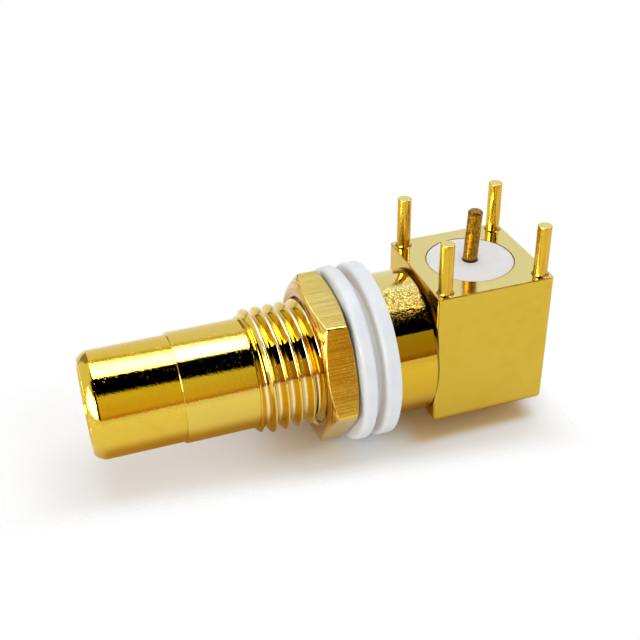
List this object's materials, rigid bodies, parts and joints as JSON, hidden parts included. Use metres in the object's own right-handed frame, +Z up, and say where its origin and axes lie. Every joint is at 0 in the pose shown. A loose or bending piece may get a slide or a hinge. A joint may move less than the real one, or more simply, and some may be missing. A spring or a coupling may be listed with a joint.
{
  "type": "phono panel socket",
  "caption": "Right-angle gold-plated phono socket with a threaded neck, hex nut and white washers for a panel, and a square block with board legs and an insulated signal pin.",
  "frame": {"origin": "on the barrel's axis, at the inner face of the panel, which is the rear washer's front face", "axes": "X along the barrel's axis with the mouth towards -X, +Z up along the board legs, Y across the block"},
  "size_m": [0.036, 0.014, 0.0176],
  "materials": {
    "gold_plate": "polished gold plate",
    "brushed_brass": "brushed flats",
    "bronze": "dull, mottled",
    "white_insulator": "matte",
    "nylon": "satin"
  },
  "bodies": {
    "socket": {"shell": "gold_plate", "block": "gold_plate", "leg_front_left": "gold_plate", "leg_front_right": "gold_plate", "leg_rear_left": "gold_plate", "leg_rear_right": "gold_plate", "centre_contact": "gold_plate", "pin_bush": "white_insulator", "front_insulator": "white_insulator", "rear_insulator": "white_insulator", "signal_pin": "bronze", "rear_washer": "nylon"},
    "washer": {"front_washer": "nylon"},
    "nut": {"hex_nut": "brushed_brass"}
  },
  "joints": [
    {"name": "washer_slide", "type": "slide", "parent": "socket", "child": "washer", "axis": [-1, 0, 0], "range_m": [0, 0.0045]},
    {"name": "nut_turn", "type": "hinge", "parent": "washer", "child": "nut", "pos_m": [-0.00305, 0, 0], "axis": [-1, 0, 0], "range_deg": [0, 1620]}
  ],
  "couplings": [
    {"joint": "nut_turn", "follows": "washer_slide", "rad_per_m": 6283.2}
  ]
}
